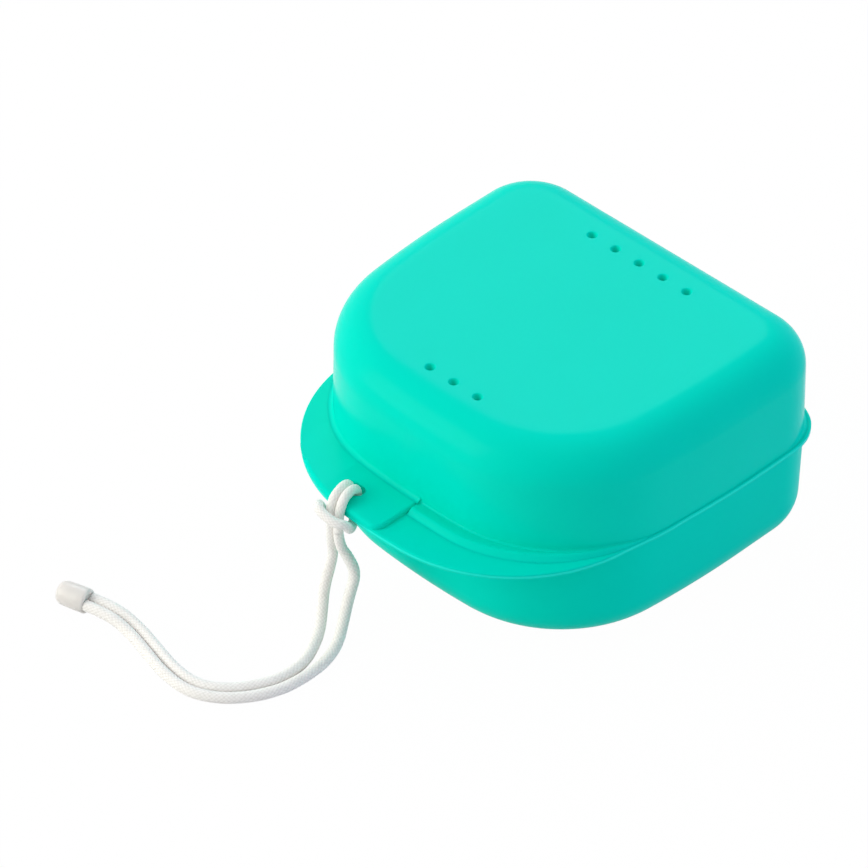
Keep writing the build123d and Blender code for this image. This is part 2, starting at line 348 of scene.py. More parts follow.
# %% [markdown]
# Each vertex of the outline keeps its plan place and the direction outwards, and also three sizes: how
# far the flange or the grip reaches out there, how wide the cove beside the wall is, and how high the
# cove starts. New rings are extruded from the last one and inherit them all.

# %% Remember place, direction and sizes on every vertex
SIZES = ("reach", "cove", "lift")


def remember(mesh_maker, sizes_at):
    """Stores plan place, outward direction and the three sizes in mm on each vertex of the ring."""
    place = mesh_maker.verts.layers.float_vector.new("plan")
    outward = mesh_maker.verts.layers.float_vector.new("outward")
    for name in SIZES:
        mesh_maker.verts.layers.float.new(name)
    layers = [mesh_maker.verts.layers.float[name] for name in SIZES]
    order = walk(mesh_maker)
    for before, here, after in zip(order[-1:] + order[:-1], order, order[1:] + order[:1]):
        ahead = (here.co - before.co).normalized() + (after.co - here.co).normalized()
        here[place] = here.co.copy()
        here[outward] = Vector((-ahead.y, ahead.x, 0.0)).normalized()
        for layer, size in zip(layers, sizes_at(here.co, here[outward])):
            here[layer] = size
    print("ring of", len(order), "vertices, longest reach", round(max(v[layers[0]] for v in order), 2))


def grow(mesh_maker, ring, profile):
    """Extrudes a ring of edges once for each profile entry, (out, z) or a function of the sizes."""
    place = mesh_maker.verts.layers.float_vector["plan"]
    outward = mesh_maker.verts.layers.float_vector["outward"]
    layers = [mesh_maker.verts.layers.float[name] for name in SIZES]
    for spot in profile:
        grown = bmesh.ops.extrude_edge_only(mesh_maker, edges=ring)["geom"]
        for vertex in (part for part in grown if isinstance(part, bmesh.types.BMVert)):
            out, z = spot(*[vertex[layer] for layer in layers]) if callable(spot) else spot
            vertex.co = vertex[place] + out * MM * vertex[outward]
            vertex.co.z = z * MM
        ring = [part for part in grown if isinstance(part, bmesh.types.BMEdge)]
    return ring


# %% [markdown]
# The tongues at the front, visor and grip, are drawn in the same way. How far they reach is measured
# along each wall vertex's outward direction, and a soft maximum blends them into the flange.

# %% Measure how far a tongue reaches
def tongue(front_y, steps):
    """Half outline of a tongue as points in mm, from the middle plane to the side."""
    mesh_maker = bmesh.new()
    trace(mesh_maker, (0, front_y, 0), 0, steps)
    points = [Vector((vertex.co.x, vertex.co.y)) / MM for vertex in mesh_maker.verts]
    mesh_maker.free()
    return sorted(points, key=lambda point: point.y)


def tongue_reach(outline, place, outward):
    """Distance in mm from a wall point to the tongue's edge, 0 where it doesn't reach."""
    start = Vector((abs(place.x), place.y)) / MM
    direction = Vector((abs(outward.x), outward.y))
    for a, b in zip(outline, outline[1:]):
        hit = intersect_line_line_2d(start, start + 20 * direction, a, b)
        if hit:
            return (hit - start).length
    return 0.0


def soft_max(a, b, blend):
    """The larger of two lengths, blended over a short stretch where they are alike."""
    mix = max(blend - abs(a - b), 0.0) / blend
    return max(a, b) + mix * mix * blend / 4


# %% How far the tub's flange and visor reach
VISOR = tongue(-43.0, [(130, 3.1, 6), (31.5, 78.4, 44), (14, 0, 4)])
STRIP = [                  # how far the wall faces backwards, from -1 to 1, and the flange's reach there
    (-1.0, 0.2), (-0.08, 0.2), (0.0, 0.5), (0.7, 1.4), (1.0, 0.9),
]


def flange_reach(place, outward):
    """Reach of the flange in mm: none at the hinge, wide at the back corners, narrow along the sides
    and far out at the visor."""
    if place.y / MM > BACK_Y - 0.1 and abs(place.x) / MM < HINGE_HALF + 0.01:
        return 0.0
    for (low, narrow), (high, wide) in zip(STRIP, STRIP[1:]):
        if outward.y <= high:
            share = (outward.y - low) / (high - low)
            strip = narrow + (wide - narrow) * share * share * (3 - 2 * share)
            break
    return soft_max(tongue_reach(VISOR, place, outward), strip, 0.8)


# %% [markdown]
# A moulded wall leans by a degree or so, to leave its mould, and ends in a round. The next function
# gives the profile of such a wall: up or down the lean, then round an arc until it lies flat.

# %% Profile of a leaning wall that ends in a round
def leaning_wall(out, z_start, z_end, lean, radius, steps=14):
    """(out, z) pairs from the wall's start to its flat end, with an arc tangent to both."""
    up = 1 if z_end > z_start else -1
    slope = math.tan(math.radians(lean))
    centre_z = z_end - up * radius
    touch_z = centre_z + up * radius * math.sin(math.radians(lean))
    centre_out = out - slope * abs(touch_z - z_start) - radius * math.cos(math.radians(lean))
    wall = [(out - slope * abs(z - z_start), z)
            for z in (z_start + (touch_z - z_start) * part / 3 for part in range(1, 3))]
    for step in range(steps + 1):
        angle = math.radians(lean + (90 - lean) * step / steps)
        wall.append((centre_out + radius * math.cos(angle), centre_z + up * radius * math.sin(angle)))
    return wall


# %% [markdown]
# ## The lid
# The lid is one closed skin. At the right front its bottom edge swells into a finger grip: a soft bump
# with a ledge behind it that dips towards the wall. Elsewhere the wall ends in a cove, which is wide on
# the visor and the pad, and narrow where the flange is narrow. From there the skin goes up the wall and
# over the round to the top, and on the other side up through the rebate and the hollow.

# %% Sizes along the lid's edge
RIM_Z = 23.6               # top of the tub's flange
SEAT = 23.65               # the lid rests here
HEIGHT = 45.3
SKIN = 1.4                 # thickness of the walls
GRIP_RISE = 0.9            # height of the grip's crest, and of the pad
LEDGE_RISE = 0.55          # height of the ledge behind the crest, at the wall
CREST_IN = 1.7             # from the grip's edge in to its crest
TOE = -0.04                # the cove's thin edge fills the gap to the flange
COVE = 1.1                 # width of the cove where there is room for it
WALL_START = 26.2          # above every cove the wall is plain
PAD_RIGHT = 1.9            # the pad's right end
PAD_RAMP = (-26.0, -14.0)  # the pad rises between these two, from its left end
GRIP = tongue(-35.8, [(400, 1.5, 4), (27.4, 58, 30), (31, 29, 12), (6, 0, 3)])


def pad_height(x):
    """Height of the pad's surface above the visor at x in mm."""
    return GRIP_RISE * min(max((x - PAD_RAMP[0]) / (PAD_RAMP[1] - PAD_RAMP[0]), 0.0), 1.0)


def lid_sizes(place, outward):
    """Reach of the grip, width of the cove and height where the cove starts, in mm."""
    x, y = place.x / MM, place.y / MM
    reach = tongue_reach(GRIP, place, outward) if x > PAD_RIGHT + 0.1 and y < 0 else 0.0
    if reach:
        near_end = min(reach / 1.2, 1.0)
        return reach, min(0.5, 0.45 * reach), TOE + (LEDGE_RISE - TOE) * near_end
    if y < -20 and PAD_RAMP[0] < x <= PAD_RIGHT + 0.1:
        return 0.0, COVE, TOE + pad_height(x)
    ledge = flange_reach(place, outward)
    return 0.0, min(COVE, 0.6 * ledge), TOE


# %% Profile of the lid's edge
def grip_profile():
    """From under the grip out to its edge, over the bump and the ledge, and up the cove to the wall."""
    spots = [lambda reach, cove, lift: (max(reach - 0.05, 0.0), SEAT)]
    for step in range(11):
        share = step / 10
        rise = share * share * (3 - 2 * share)
        spots.append(lambda reach, cove, lift, share=share, rise=rise: (
            reach - share * min(CREST_IN, 0.55 * reach),
            SEAT + TOE + rise * (crest_of(reach, lift) - TOE)))
    for share in (0.25, 0.6):
        spots.append(lambda reach, cove, lift, share=share: (
            (1 - share) * (reach - min(CREST_IN, 0.55 * reach)) + share * min(cove, reach),
            SEAT + crest_of(reach, lift) - share ** 1.3 * (crest_of(reach, lift) - lift)))
    for step in range(9):
        angle = math.radians(90 * step / 8)
        spots.append(lambda reach, cove, lift, angle=angle: (
            cove * (1 - math.sin(angle)), SEAT + lift + cove * (1 - math.cos(angle))))
    return spots


def crest_of(reach, lift):
    """Height of the grip's crest. Where there is no grip, it is the height where the cove starts."""
    return lift + (GRIP_RISE - LEDGE_RISE) * min(reach / 2.0, 1.0)


# %% Skin of the lid
LID_LEAN, LID_ROUND = 1.0, 7.7        # degrees and mm
lid_maker = wall_ring(cuts=(*PAD_RAMP, PAD_RIGHT, PAD_RIGHT + 0.2))
remember(lid_maker, lid_sizes)
bottom = lid_maker.edges[:]
for vertex in lid_maker.verts:
    vertex.co.z = SEAT * MM
top = grow(lid_maker, bottom, grip_profile() + leaning_wall(0.0, WALL_START, HEIGHT, LID_LEAN, LID_ROUND))
top = grow(lid_maker, top, [(-8.7, HEIGHT), (-9.6, HEIGHT)])
bmesh.ops.contextual_create(lid_maker, geom=top)
rebate_top = RIM_Z + 2.6
rebate = [(-0.6, SEAT), (-0.6, rebate_top), (-1.5, rebate_top)]
ceiling = grow(lid_maker, bottom, rebate + leaning_wall(-1.5, rebate_top, HEIGHT - SKIN, LID_LEAN,
                                                        LID_ROUND - SKIN, 9))
bmesh.ops.contextual_create(lid_maker, geom=ceiling)
bmesh.ops.remove_doubles(lid_maker, verts=lid_maker.verts, dist=0.005 * MM)
bmesh.ops.recalc_face_normals(lid_maker, faces=lid_maker.faces)
lid = finish_piece("domed_lid", lid_maker)

# %% [markdown]
# ## The tub
# The tub is made in the same way. From under the flange its skin goes down to the floor, and on the
# other side round the flange and the visor, over the locating lip and down into the hollow. The
# upright part of the flange's edge gets rings of its own, because its middle is painted paler, a painted
# glow for the light that passes through the thin plastic.

# %% Skin of the tub
TUB_LEAN, TUB_ROUND = 1.4, 8.8        # degrees and mm
FLANGE_UNDER = 22.4                   # underside of the flange
EDGE_ROUND = 0.25
PAINTED_GLOW_BAND = (22.77, 23.23)            # the edge is painted paler between these heights: a painted glow of light let through


def flange_profile():
    """From the wall out along the flange's underside and round its edge."""
    def edge(z, turn=0.0):
        """Spot at a height on the flange's edge, drawn in by the turn of its round."""
        return lambda reach, cove, lift: (
            max(reach - EDGE_ROUND * (1 - math.cos(turn)), min(0.3, reach)), z)

    turns = [math.radians(15 * step) for step in range(7)]
    under = [edge(FLANGE_UNDER + EDGE_ROUND * (1 - math.sin(turn)), turn) for turn in reversed(turns)]
    over = [edge(RIM_Z - EDGE_ROUND * (1 - math.sin(turn)), turn) for turn in turns]
    return ([lambda reach, cove, lift: (min(0.3, reach), FLANGE_UNDER)] + under
            + [edge(z) for z in PAINTED_GLOW_BAND] + over)


tub_maker = wall_ring()
remember(tub_maker, lambda place, outward: (flange_reach(place, outward), 0.0, 0.0))
wall_top = FLANGE_UNDER - 0.3
for vertex in tub_maker.verts:
    vertex.co.z = wall_top * MM
start = tub_maker.edges[:]
floor_ring = grow(tub_maker, start, leaning_wall(0.0, wall_top, 0.0, TUB_LEAN, TUB_ROUND))
floor_ring = grow(tub_maker, floor_ring, [(-10.0, 0.0)])
bmesh.ops.contextual_create(tub_maker, geom=floor_ring)
lip_top, lip_foot = RIM_Z + 2.2, RIM_Z - 0.5
lip = [(-0.75, RIM_Z), (-0.75, lip_top - 0.2), (-0.95, lip_top), (-1.2, lip_top),
       (-SKIN, lip_top - 0.2), (-SKIN, lip_foot)]
hollow = grow(tub_maker, start, flange_profile() + lip + leaning_wall(-SKIN, lip_foot, SKIN, TUB_LEAN,
                                                                     TUB_ROUND - SKIN, 9))
bmesh.ops.contextual_create(tub_maker, geom=hollow)
bmesh.ops.remove_doubles(tub_maker, verts=tub_maker.verts, dist=0.005 * MM)
bmesh.ops.recalc_face_normals(tub_maker, faces=tub_maker.faces)
tub = finish_piece("tub_with_visor", tub_maker)

# %% [markdown]
# ## Cutting and joining
# Vents and the cord's hole are drilled with the Boolean modifier, which is applied at once. The sharp
# rims that it leaves round the vents are bevelled a little, because a moulded hole has a soft rim.

# %% Boolean helper
def combine(piece, other, operation):
    """Joins, cuts or intersects a piece with another one, which is used up."""
    modifier = piece.modifiers.new(operation.lower(), "BOOLEAN")
    modifier.operation = operation
    modifier.object = other
    modifier.solver = "EXACT"
    dependency_graph = bpy.context.evaluated_depsgraph_get()
    made = bpy.data.meshes.new_from_object(piece.evaluated_get(dependency_graph))
    piece.modifiers.clear()
    old = piece.data
    piece.data = made
    bpy.data.meshes.remove(old)
    bpy.data.objects.remove(other)
    made.name = piece.name
    print(piece.name, operation, "gives", len(made.polygons), "faces")
    return piece


def weigh_normals(piece):
    """Lets large flat faces keep their own shading where they meet small rounded ones."""
    modifier = piece.modifiers.new("normals by face size", "WEIGHTED_NORMAL")
    modifier.keep_sharp = True
    modifier.weight = 60             # 50 would count all faces alike


def pin(x, y, z, radius, depth, segments=32, taper=0.0):
    """Upright round pin round a middle point, to cut a hole with. With a taper it narrows downwards."""
    mesh_maker = bmesh.new()
    bmesh.ops.create_cone(mesh_maker, cap_ends=True, segments=segments, depth=depth * MM,
                          radius1=(radius - taper * depth / 2) * MM,
                          radius2=(radius + taper * depth / 2) * MM,
                          matrix=Matrix.Translation(Vector((x, y, z)) * MM))
    return add_object("pin", mesh_maker)


def soften_rims(piece, chosen, width, segments=3):
    """Bevels the edges that the chosen test picks."""
    mesh_maker = bmesh.new()
    mesh_maker.from_mesh(piece.data)
    edges = [edge for edge in mesh_maker.edges if chosen(edge)]
    bmesh.ops.bevel(mesh_maker, geom=edges, offset=width * MM, offset_type="OFFSET", affect="EDGES",
                    segments=segments, profile=0.5, material=-1)
    mesh_maker.to_mesh(piece.data)
    mesh_maker.free()
    print(piece.name, "softened", len(edges), "edges by", width, "mm")


# %% Drill the vents
VENT_R = 0.95              # at the top of the lid
VENT_TAPER = 0.32          # the pins of the mould narrow downwards
PITCH = 6.0
VENTS = [(PITCH * k, 27.3) for k in (-2, -1, 0, 1, 2)] + [(PITCH * k, -21.4) for k in (-1, 0, 1)]
for x, y in VENTS:
    combine(lid, pin(x, y, HEIGHT, VENT_R, 3.6, taper=VENT_TAPER), "DIFFERENCE")


def on_vent_rim(edge):
    """True for the edges of the vents' outer rims."""
    return all(abs(v.co.z - HEIGHT * MM) < 0.01 * MM and any(
        abs((v.co.xy - Vector(vent) * MM).length - VENT_R * MM) < 0.02 * MM for vent in VENTS)
        for v in edge.verts)


soften_rims(lid, on_vent_rim, 0.22)
smooth(lid, 40)
weigh_normals(lid)

# %% [markdown]
# ## The pad
# A raised pad on the visor carries the cord. From the side it is a long slope that ends in a step, and
# from above it fills the visor up to a rounded corner. So one block has its side view, a post has its
# plan, and their intersection is the pad. A last cut frees it from the lid's wall.

# %% Blocks for the pad
PAD_TOP = RIM_Z + GRIP_RISE
PAD_CORNER = 2.2           # radius of its right front corner in the plan
POST_FOOT, POST_LENGTH = 22.0, 4.0    # the posts stand out above and below the pad


def raise_faces(mesh_maker, shift):
    """Makes one face of all vertices and extrudes it by a shift in mm, into a solid."""
    face = bmesh.ops.contextual_create(mesh_maker, geom=mesh_maker.verts[:] + mesh_maker.edges[:])["faces"]
    grown = bmesh.ops.extrude_face_region(mesh_maker, geom=face)["geom"]
    bmesh.ops.translate(mesh_maker, vec=Vector(shift) * MM,
                        verts=[part for part in grown if isinstance(part, bmesh.types.BMVert)])
    bmesh.ops.recalc_face_normals(mesh_maker, faces=mesh_maker.faces)


def pad_side_view():
    """Block with the pad's side view: its top rises in a long slope from the left end."""
    mesh_maker = bmesh.new()
    low = RIM_Z - 0.5
    corners = [(PAD_RIGHT, low), (PAD_RIGHT, PAD_TOP), (PAD_RAMP[1], PAD_TOP),
               (PAD_RAMP[0], RIM_Z - 0.02), (PAD_RAMP[0], low)]
    for x, z in corners:
        mesh_maker.verts.new(Vector((x, -44.0, z)) * MM)
    raise_faces(mesh_maker, (0, 22, 0))
    return finish_piece("pad", mesh_maker)


def pad_plan():
    """Post with the pad's plan: its right end, a round corner and the left half of the visor's edge."""
    mesh_maker = bmesh.new()
    trace(mesh_maker, (PAD_RIGHT, -31.0, POST_FOOT), -90, [
        (12.0 - PAD_CORNER, 0, 1), (PAD_CORNER, -90, 8), (130, -2.97, 6), (31.5, -78.4, 44), (14, 0, 1)])
    raise_faces(mesh_maker, (0, 0, POST_LENGTH))
    return finish_piece("pad_plan", mesh_maker)


def wall_plan():
    """Post with the plan of the walls."""
    mesh_maker = wall_ring()
    bmesh.ops.translate(mesh_maker, verts=mesh_maker.verts, vec=(0, 0, POST_FOOT * MM))
    raise_faces(mesh_maker, (0, 0, POST_LENGTH))
    return finish_piece("wall_plan", mesh_maker)


def block(low, high):
    """Box between two corners in mm, as an object."""
    mesh_maker = bmesh.new()
    low, high = Vector(low) * MM, Vector(high) * MM
    bmesh.ops.create_cube(mesh_maker, size=1.0, matrix=Matrix.Translation((low + high) / 2)
                          @ Matrix.Diagonal((*(high - low), 1.0)))
    return finish_piece("block", mesh_maker)


# %% Raise the pad and cut the cord's hole
def on_pad_rim(edge):
    """True for the edges round the pad's top, along its front and its right end."""
    on_top = all(abs(v.co.z / MM - RIM_Z - pad_height(v.co.x / MM)) < 0.03 for v in edge.verts)
    high = all(v.co.z > (RIM_Z + 0.27) * MM for v in edge.verts)
    front = all(v.co.y < -36 * MM for v in edge.verts)
    right_end = all(v.co.x > (PAD_RIGHT - 0.01) * MM for v in edge.verts)
    across = abs(edge.verts[0].co.x - edge.verts[1].co.x) < 0.02 * MM and not right_end
    return on_top and high and (front or right_end) and not across


pad = combine(pad_side_view(), pad_plan(), "INTERSECT")
combine(pad, wall_plan(), "DIFFERENCE")
soften_rims(pad, on_pad_rim, 0.7, 6)
combine(tub, pad, "UNION")

HOLE_X, HOLE_Y = -9.3, -37.9
HOLE_R, HOLE_SHIFT = 1.5, 1.1         # two round ends, and how far each is from the middle
for shift in (-HOLE_SHIFT, HOLE_SHIFT):
    combine(tub, pin(HOLE_X + shift, HOLE_Y, RIM_Z, HOLE_R, 12, 28), "DIFFERENCE")
combine(tub, block((HOLE_X - HOLE_SHIFT, HOLE_Y - HOLE_R, 18), (HOLE_X + HOLE_SHIFT, HOLE_Y + HOLE_R, 28)),
        "DIFFERENCE")
smooth(tub, 40)
weigh_normals(tub)

# %% [markdown]
# ## The snap hinge
# At the back, a rod runs through three ears of the tub, and two open hooks of the lid snap onto it.
# An ear or a hook starts as a round knuckle with a gusset down or up the wall. That is the convex hull
# of a disc and a patch of the wall, so Blender's hull operator makes it. The hull makes all its faces
# anew, so the disc's own faces are deleted before it.

# %% Ears and rod on the tub, hooks on the lid
HINGE_Y, HINGE_Z = 40.9, 23.6
KNUCKLE_R, ROD_R = 2.1, 1.1
ROD_LENGTH, EAR_WIDTH, HOOK_WIDTH = 43.0, 2.4, 10.0
EAR_GUSSET, HOOK_GUSSET = (13.0, 21.7), (25.5, 31.0)    # lowest and highest spot on the wall
THROAT_HALF = 0.95         # half of the gap through which a hook snaps on


def along_x(radius, middle_x, width, segments=40):
    """Round bar along X on the hinge's axis, in a new bmesh."""
    mesh_maker = bmesh.new()
    turn = Matrix.Rotation(math.radians(90), 4, "Y")
    bmesh.ops.create_cone(mesh_maker, cap_ends=True, segments=segments, radius1=radius * MM,
                          radius2=radius * MM, depth=width * MM,
                          matrix=Matrix.Translation(Vector((middle_x, HINGE_Y, HINGE_Z)) * MM) @ turn)
    return mesh_maker


def knuckle(name, middle_x, width, wall_z):
    """Hinge knuckle with a gusset that spans two heights on the wall."""
    mesh_maker = along_x(KNUCKLE_R, middle_x, width)
    for side in (-0.5, 0.5):
        for z in wall_z:
            mesh_maker.verts.new(Vector((middle_x + side * width, BACK_Y - 0.7, z)) * MM)
    bmesh.ops.delete(mesh_maker, geom=mesh_maker.edges[:], context="EDGES_FACES")
    hull = bmesh.ops.convex_hull(mesh_maker, input=mesh_maker.verts)
    inner = {part for part in hull["geom_interior"] if isinstance(part, bmesh.types.BMVert)}
    bmesh.ops.delete(mesh_maker, geom=list(inner), context="VERTS")
    bmesh.ops.recalc_face_normals(mesh_maker, faces=mesh_maker.faces)
    return finish_piece(name, mesh_maker, sharp_degrees=30)


hinge_rod = finish_piece("hinge_rod_and_ears", along_x(ROD_R, 0, ROD_LENGTH), sharp_degrees=30)
for middle in (-ROD_LENGTH / 2, 0.0, ROD_LENGTH / 2):
    combine(hinge_rod, knuckle("ear", middle, EAR_WIDTH, EAR_GUSSET), "UNION")
hooks = []
for side, middle in (("left", -ROD_LENGTH / 4), ("right", ROD_LENGTH / 4)):
    hook = knuckle(f"hinge_hook_{side}", middle, HOOK_WIDTH, HOOK_GUSSET)
    combine(hook, finish_piece("bore", along_x(ROD_R + 0.05, middle, HOOK_WIDTH + 2)), "DIFFERENCE")
    reach = HOOK_WIDTH / 2 + 1
    combine(hook, block((middle - reach, HINGE_Y - THROAT_HALF, HINGE_Z - 3),
                        (middle + reach, HINGE_Y + THROAT_HALF, HINGE_Z)), "DIFFERENCE")
    hooks.append(hook)
for piece in [hinge_rod, *hooks]:
    smooth(piece, 30)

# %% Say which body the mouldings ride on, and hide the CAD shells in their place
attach(tub, "base")
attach(hinge_rod, "base")
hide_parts("base_shell")
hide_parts("base_shell")
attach(lid, "lid")
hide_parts("lid_shell")
for hook in hooks:
    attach(hook, "lid")
    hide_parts("lid_shell")

# %% [markdown]
# ## Materials
# One small function adds a node, sets it and links it. Colours are written as sRGB hex values, as in a
# paint program, and one function turns them to the linear values that Blender works in.

# %% Helpers for nodes and colours
def linear(hex_colour):
    """Linear RGBA of an sRGB hex colour."""
    parts = [int(hex_colour[i:i + 2], 16) / 255 for i in (1, 3, 5)]
    return [p / 12.92 if p <= 0.04045 else ((p + 0.055) / 1.055) ** 2.4 for p in parts] + [1.0]


def add_node(tree, kind, inputs=None, **settings):
    """Adds a node. Inputs are values, or sockets of other nodes, by input name or number."""
    node = tree.nodes.new(kind)
    for name, value in settings.items():
        setattr(node, name, value)
    for key, value in (inputs or {}).items():
        if isinstance(value, bpy.types.NodeSocket):
            tree.links.new(value, node.inputs[key])
        else:
            node.inputs[key].default_value = value
    return node


def new_material(name):
    """Empty node material and its tree."""
    material = bpy.data.materials.new(name)
    material.use_nodes = True
    material.node_tree.nodes.clear()
    return material, material.node_tree


def per_mm(period):
    """Scale of a noise texture whose features are so many millimetres wide."""
    return 1.0 / (period * MM)


# %% [markdown]
# **Injection-moulded polypropylene.** The case is dyed right through. Its skin copies the mould: an
# even, soft gloss, with a fine grain that only shows in the highlights and slow waves where the plastic
# shrank. The gloss is weaker than the IOR alone would give, because the grain breaks the reflection up.
# The lid's mould is polished and the tub's is matt. Light enters a little way. The pale line along the
# flange's thin edge, where light passes right through, is a painted glow: that band gets a paler mix of the
# same plastic.

# %% Turquoise polypropylene
def polypropylene(finish, low_colour, high_colour, specular, roughness):
    """Dyed plastic whose colour flows between two tones, with the gloss that its mould gives it."""
    material, tree = new_material("moulded_polypropylene_" + finish)
    place = add_node(tree, "ShaderNodeTexCoord").outputs["Object"]
    flow = add_node(tree, "ShaderNodeTexNoise", {"Vector": place, "Scale": per_mm(26), "Detail": 2.0})
    colour = add_node(tree, "ShaderNodeMix", {0: flow.outputs["Fac"], 6: linear(low_colour),
                                              7: linear(high_colour)}, data_type="RGBA")
    satin = add_node(tree, "ShaderNodeTexNoise", {"Vector": place, "Scale": per_mm(1.6), "Detail": 3.0})
    gloss = add_node(tree, "ShaderNodeMapRange", {"Value": satin.outputs["Fac"], "To Min": roughness - 0.03,
                                                  "To Max": roughness + 0.03})
    shrink = add_node(tree, "ShaderNodeTexNoise", {"Vector": place, "Scale": per_mm(11), "Detail": 1.0})
    waves = add_node(tree, "ShaderNodeBump", {"Height": shrink.outputs["Fac"], "Strength": 0.1,
                                              "Distance": 0.1 * MM})
    grain = add_node(tree, "ShaderNodeTexNoise", {"Vector": place, "Scale": per_mm(0.4), "Detail": 2.0})
    skin = add_node(tree, "ShaderNodeBump", {"Height": grain.outputs["Fac"], "Strength": 0.04,
                                             "Distance": 0.01 * MM, "Normal": waves.outputs["Normal"]})
    shader = add_node(tree, "ShaderNodeBsdfPrincipled", {
        "Base Color": colour.outputs[2], "Roughness": gloss.outputs["Result"],
        "Normal": skin.outputs["Normal"], "IOR": 1.49, "Specular IOR Level": specular,
        "Subsurface Weight": 0.3, "Subsurface Radius": (0.3, 1.0, 0.9), "Subsurface Scale": 0.3 * MM})
    add_node(tree, "ShaderNodeOutputMaterial", {"Surface": shader.outputs["BSDF"]})
    return material


# %% [markdown]
# ** Braided polyester cord.** White filament yarns with a dull sheen. Fibres run along each yarn. The
# gaps between the yarns are painted a little darker, a painted shade, because less light gets out of
# them. The yarns also differ a little from each other, which the eye reads as a soft mottled skin.

# %% White braided cord
def braided_polyester():
    material, tree = new_material("braided_polyester_white")
    place = add_node(tree, "ShaderNodeTexCoord").outputs["Object"]
    # Painted shade: the colour darkens where yarn_height is low, in the gaps between the yarns; the blotch
    # noise is the yarns' own uneven tone.
    height = add_node(tree, "ShaderNodeAttribute", attribute_name="yarn_height")
    blotch = add_node(tree, "ShaderNodeTexNoise", {"Vector": place, "Scale": per_mm(0.6), "Detail": 2.0})
    lit = add_node(tree, "ShaderNodeMath", {0: height.outputs["Fac"], 1: blotch.outputs["Fac"]},
                   operation="ADD")
    shade = add_node(tree, "ShaderNodeMapRange", {"Value": lit.outputs[0], "From Min": 0.45,
                                                  "From Max": 1.3})
    colour = add_node(tree, "ShaderNodeMix", {0: shade.outputs["Result"], 6: linear("#E9E6E1"),
                                              7: linear("#FFFCF8")}, data_type="RGBA")
    fibres = add_node(tree, "ShaderNodeTexNoise", {"Vector": place, "Scale": per_mm(0.15), "Detail": 2.0})
    fuzz = add_node(tree, "ShaderNodeBump", {"Height": fibres.outputs["Fac"], "Strength": 0.4,
                                             "Distance": 0.03 * MM})
    shader = add_node(tree, "ShaderNodeBsdfPrincipled", {
        "Base Color": colour.outputs[2], "Roughness": 0.85, "Normal": fuzz.outputs["Normal"],
        "Sheen Weight": 0.3, "Sheen Roughness": 0.5, "Subsurface Weight": 0.3,
        "Subsurface Radius": (1.0, 1.0, 1.0), "Subsurface Scale": 0.5 * MM})
    add_node(tree, "ShaderNodeOutputMaterial", {"Surface": shader.outputs["BSDF"]})
    return material


# %% [markdown]
# **Milky plastic.** The cap is unfilled polyethylene: light goes in, scatters and comes out again.

# %% Milky cap
def milky_polyethylene():
    material, tree = new_material("milky_polyethylene")
    place = add_node(tree, "ShaderNodeTexCoord").outputs["Object"]
    cloud = add_node(tree, "ShaderNodeTexNoise", {"Vector": place, "Scale": per_mm(1.8), "Detail": 2.0})
    colour = add_node(tree, "ShaderNodeMix", {0: cloud.outputs["Fac"], 6: linear("#EAE7E3"),
                                              7: linear("#F7F3EE")}, data_type="RGBA")
    dents = add_node(tree, "ShaderNodeBump", {"Height": cloud.outputs["Fac"], "Strength": 0.2,
                                              "Distance": 0.12 * MM})
    shader = add_node(tree, "ShaderNodeBsdfPrincipled", {
        "Base Color": colour.outputs[2], "Roughness": 0.32, "Normal": dents.outputs["Normal"],
        "IOR": 1.5, "Transmission Weight": 0.2, "Subsurface Weight": 0.6,
        "Subsurface Radius": (1.0, 0.95, 0.95), "Subsurface Scale": 1.5 * MM})
    add_node(tree, "ShaderNodeOutputMaterial", {"Surface": shader.outputs["BSDF"]})
    return material


# %% Give every piece its finish
polished = polypropylene("polished", "#00DEC6", "#00E3CD", 0.02, 0.19)
matt = polypropylene("matt", "#00DEC6", "#00E3CD", 0.01, 0.3)
# The flange's thin edge gets a paler copy of the plastic: a painted glow for the light that passes through
# it.
thin_edge = polypropylene("thin_edge", "#20EEDA", "#26F2DF", 0.03, 0.2)
cord_white, milky = braided_polyester(), milky_polyethylene()
for piece, finish in [(tub, matt), (lid, polished), (hinge_rod, matt),
                      *[(hook, polished) for hook in hooks], (cord_hitch, cord_white),
                      (cord_right, cord_white), (cord_cap, milky)]:
    piece.data.materials.clear()
    piece.data.materials.append(finish)
# Painted glow: the flange's upright edge faces between the band's heights, away from the hinge, take the
# paler copy.
tub.data.materials.append(thin_edge)
low, high = PAINTED_GLOW_BAND[0] - 0.01, PAINTED_GLOW_BAND[1] + 0.01
for face in tub.data.polygons:
    at_hinge = face.center.y > 0 and abs(face.center.x) < HINGE_HALF * MM
    if not at_hinge and all(low < tub.data.vertices[v].co.z / MM < high for v in face.vertices):
        face.material_index = 1
print("thin edge:", sum(face.material_index for face in tub.data.polygons), "faces")
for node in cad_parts.values():
    finish = matt if "shell" in node.name else milky if "cap" in node.name else cord_white
    for slot in node.material_slots:
        slot.material = finish

# %% [markdown]
# ## Floor and light
# A white studio floor bleeds into a white background. Seen by the camera or in a reflection it is
# nearly self-lit, so that it stays white, and the small rest is plain white paint, so that it keeps the
# case's shadow.

# %% White studio floor
def seen_directly(tree):
    """1 for rays of the camera, a reflection or a clear body, 0 for the rays that light the case."""
    ray = add_node(tree, "ShaderNodeLightPath")
    mirrored = add_node(tree, "ShaderNodeMath", {0: ray.outputs["Is Camera Ray"],
                                                 1: ray.outputs["Is Glossy Ray"]}, operation="MAXIMUM")
    return add_node(tree, "ShaderNodeMath", {0: mirrored.outputs[0],
                                             1: ray.outputs["Is Transmission Ray"]},
                    operation="MAXIMUM").outputs[0]


